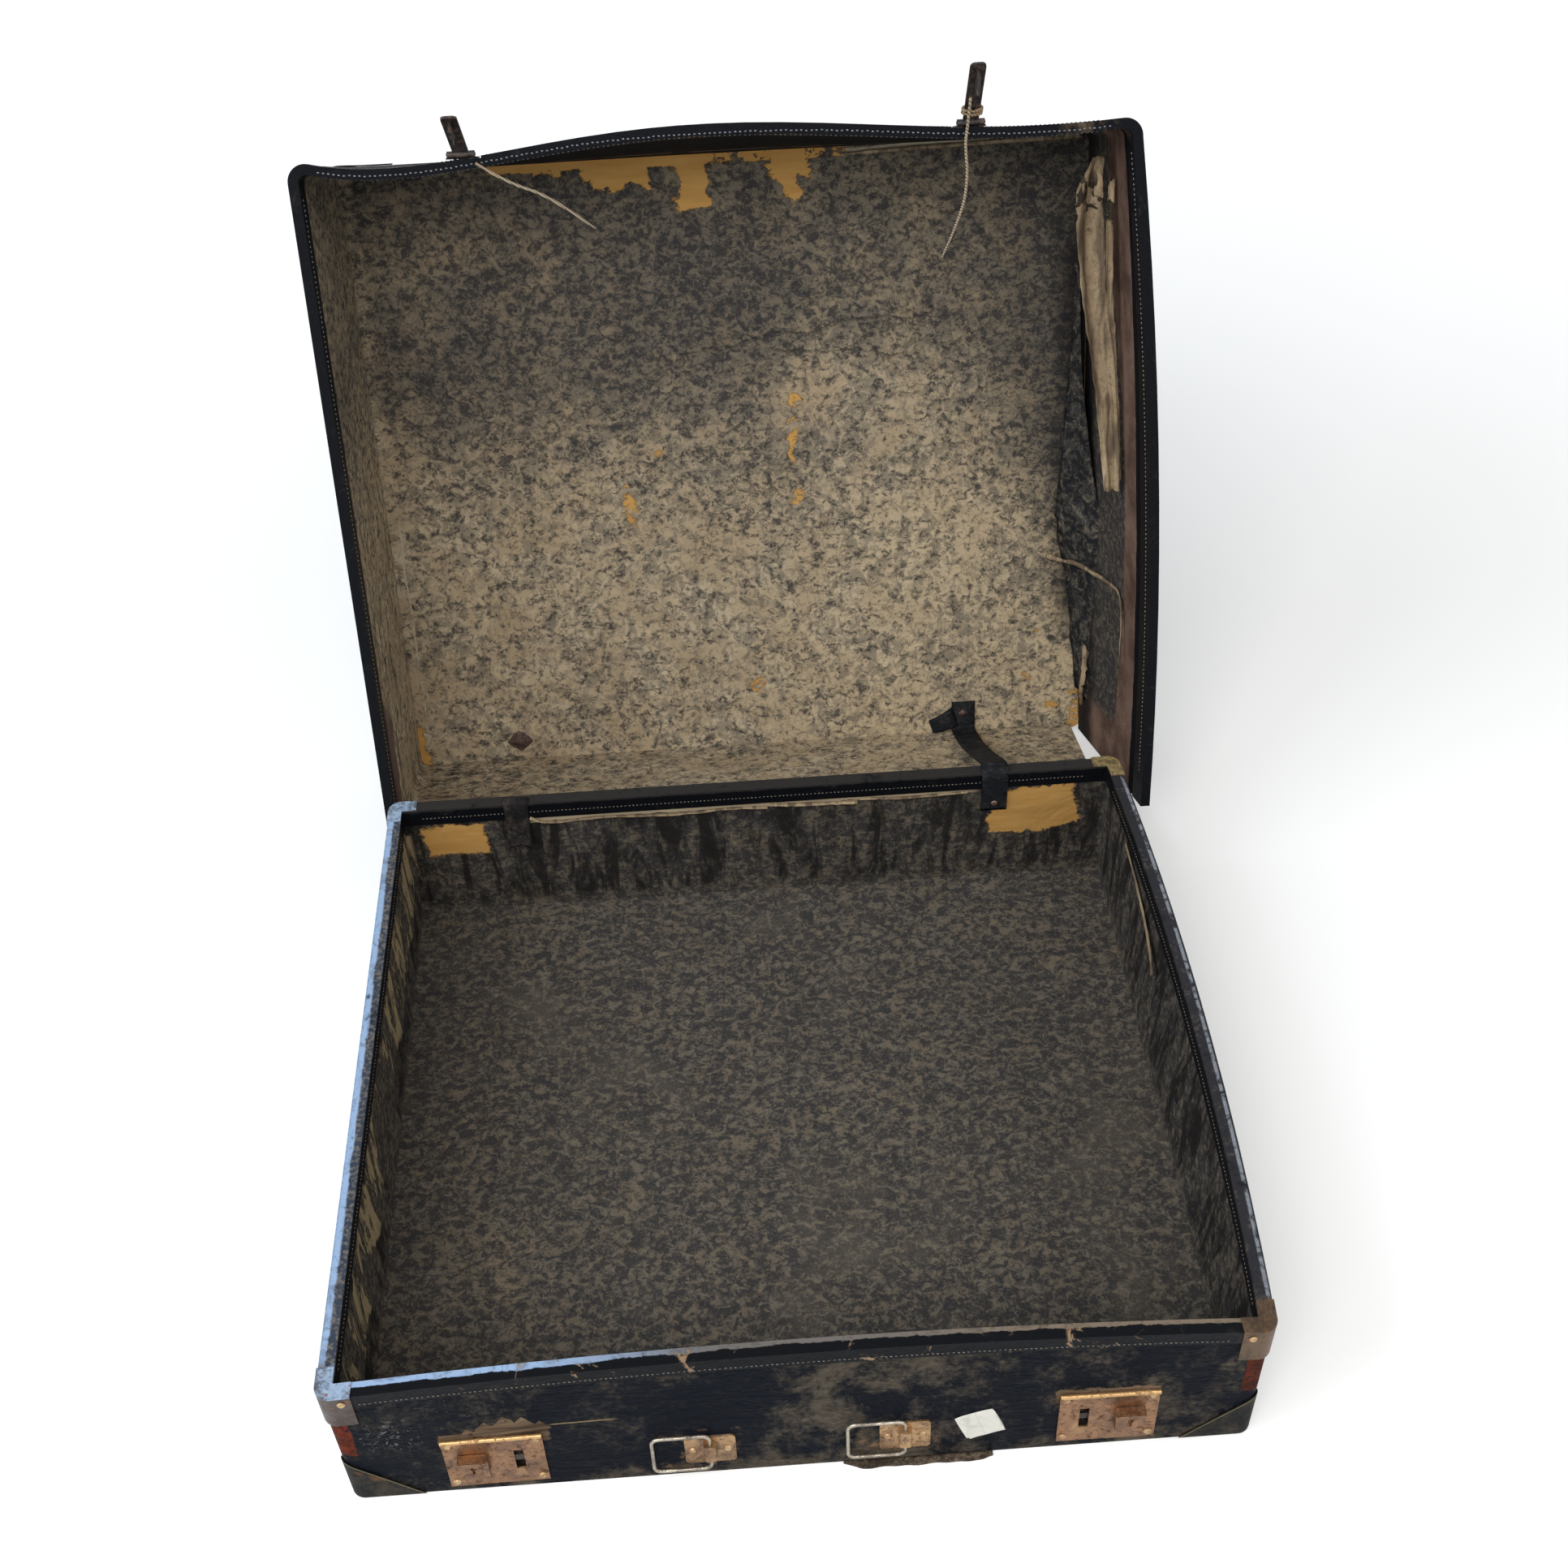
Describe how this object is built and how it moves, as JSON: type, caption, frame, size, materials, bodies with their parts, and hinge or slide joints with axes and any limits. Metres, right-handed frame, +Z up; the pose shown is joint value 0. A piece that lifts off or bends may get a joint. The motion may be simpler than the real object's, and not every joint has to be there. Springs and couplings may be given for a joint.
{
  "type": "accordion case",
  "caption": "Old hard carrying case for a piano accordion, open: deep board base, telescoping hinged lid, sprung locks with hasps, handle loops and a torn stay.",
  "frame": {"origin": "centre of the base's underside, on the floor", "axes": "+X to the right as seen from the front with the locks, +Y to the hinges, +Z up"},
  "size_m": [0.616, 0.8304, 0.623],
  "materials": {
    "board": "bare glued board, orange-tan where the covering is torn",
    "covering": "grained black leathercloth, scuffed and dusty",
    "lining": "mottled grey-black paper lining on tan",
    "binding": "stitched black binding, worn shiny",
    "guard": "stitched corner guards",
    "cap": "dull grey-bronze sheet-metal caps",
    "lock_metal": "rusty copper-brass plate",
    "lock_inner": "plain steel inside the lock",
    "rivet": "tarnished rivets",
    "wire": "tarnished wire and sheet",
    "hinge_metal": "black painted hinges",
    "hasp_metal": "black painted hasps, worn to brown",
    "strap": "dark worn leather stays",
    "paper": "blank white paper",
    "string": "thin tan string"
  },
  "bodies": {
    "base": {"base_back_wall": "board", "base_corner_guards": "guard", "base_floor": "board", "base_front_wall": "board", "base_left_wall": "board", "base_lining": "lining", "base_right_wall": "board", "base_rim_binding": "binding", "base_rim_caps": "cap", "base_side_covering": "covering", "base_underside_covering": "covering", "handle_plate_left": "wire", "handle_plate_right": "wire", "handle_rivets": "rivet", "hinge_base_leaves": "hinge_metal", "hinge_base_rivets": "rivet", "hinge_pins": "hinge_metal", "lock_case_left": "lock_inner", "lock_case_right": "lock_inner", "lock_plate_left": "lock_metal", "lock_plate_right": "lock_metal", "lock_rivets": "rivet", "lock_spring_left": "lock_inner", "lock_spring_right": "lock_inner", "loose_edge_strip": "covering", "paper_label": "paper", "rim_cap_rivets": "rivet", "stay_base_rivets": "rivet", "stay_strap_left": "strap", "stay_strap_right": "strap"},
    "lid": {"hasp_pins": "hasp_metal", "hasp_plate_left": "hasp_metal", "hasp_plate_right": "hasp_metal", "hasp_rivets": "rivet", "hinge_lid_leaves": "hinge_metal", "hinge_lid_rivets": "rivet", "lid_back_wall": "board", "lid_corner_guards": "guard", "lid_covering": "covering", "lid_front_wall": "board", "lid_left_wall": "board", "lid_lining": "lining", "lid_panel": "board", "lid_right_lining": "lining", "lid_right_wall": "board", "lid_rim_binding": "binding", "peeled_lining_strip": "lining", "stay_lid_rivets": "rivet", "stay_strap_upper": "strap", "stay_washers": "wire", "string_left": "string", "string_right": "string"},
    "hasp_left_body": {"hasp_left": "hasp_metal"},
    "hasp_right_body": {"hasp_right": "hasp_metal"},
    "lock_left_slide": {"lock_button_left": "lock_metal", "lock_bolt_left": "lock_inner"},
    "lock_right_slide": {"lock_button_right": "lock_metal", "lock_bolt_right": "lock_inner"},
    "loop_left_body": {"handle_loop_left": "wire"},
    "loop_right_body": {"handle_loop_right": "wire"}
  },
  "joints": [
    {"name": "lid_hinge", "type": "hinge", "parent": "base", "child": "lid", "pos_m": [0, 0.257, 0.0675], "axis": [1, 0, 0], "range_deg": [0, 107.5], "deforming": ["stay_strap_upper", "string_left", "string_right"]},
    {"name": "hasp_left_hinge", "type": "hinge", "parent": "lid", "child": "hasp_left_body", "pos_m": [-0.176, 0.42327, 0.56865], "axis": [1, 0, 0], "range_deg": [-120, 47.06]},
    {"name": "hasp_right_hinge", "type": "hinge", "parent": "lid", "child": "hasp_right_body", "pos_m": [0.176, 0.42399, 0.57079], "axis": [1, 0, 0], "range_deg": [-105, 64.2]},
    {"name": "lock_left_slide", "type": "slide", "parent": "base", "child": "lock_left_slide", "axis": [-0.9999, -0.0108, 0], "range_m": [0, 0.006], "stiffness_N_per_m": 300, "springref_m": -0.002, "deforming": ["lock_spring_left"]},
    {"name": "lock_right_slide", "type": "slide", "parent": "base", "child": "lock_right_slide", "axis": [0.9999, -0.0108, 0], "range_m": [0, 0.006], "stiffness_N_per_m": 300, "springref_m": -0.002, "deforming": ["lock_spring_right"]},
    {"name": "handle_loop_left_hinge", "type": "hinge", "parent": "base", "child": "loop_left_body", "pos_m": [-0.05799, -0.2543, 0.02719], "axis": [-0.0002, 0.0626, 0.998], "range_deg": [0, 170]},
    {"name": "handle_loop_right_hinge", "type": "hinge", "parent": "base", "child": "loop_right_body", "pos_m": [0.06399, -0.25432, 0.02719], "axis": [0.0002, 0.062, 0.9981], "range_deg": [0, 170]}
  ]
}
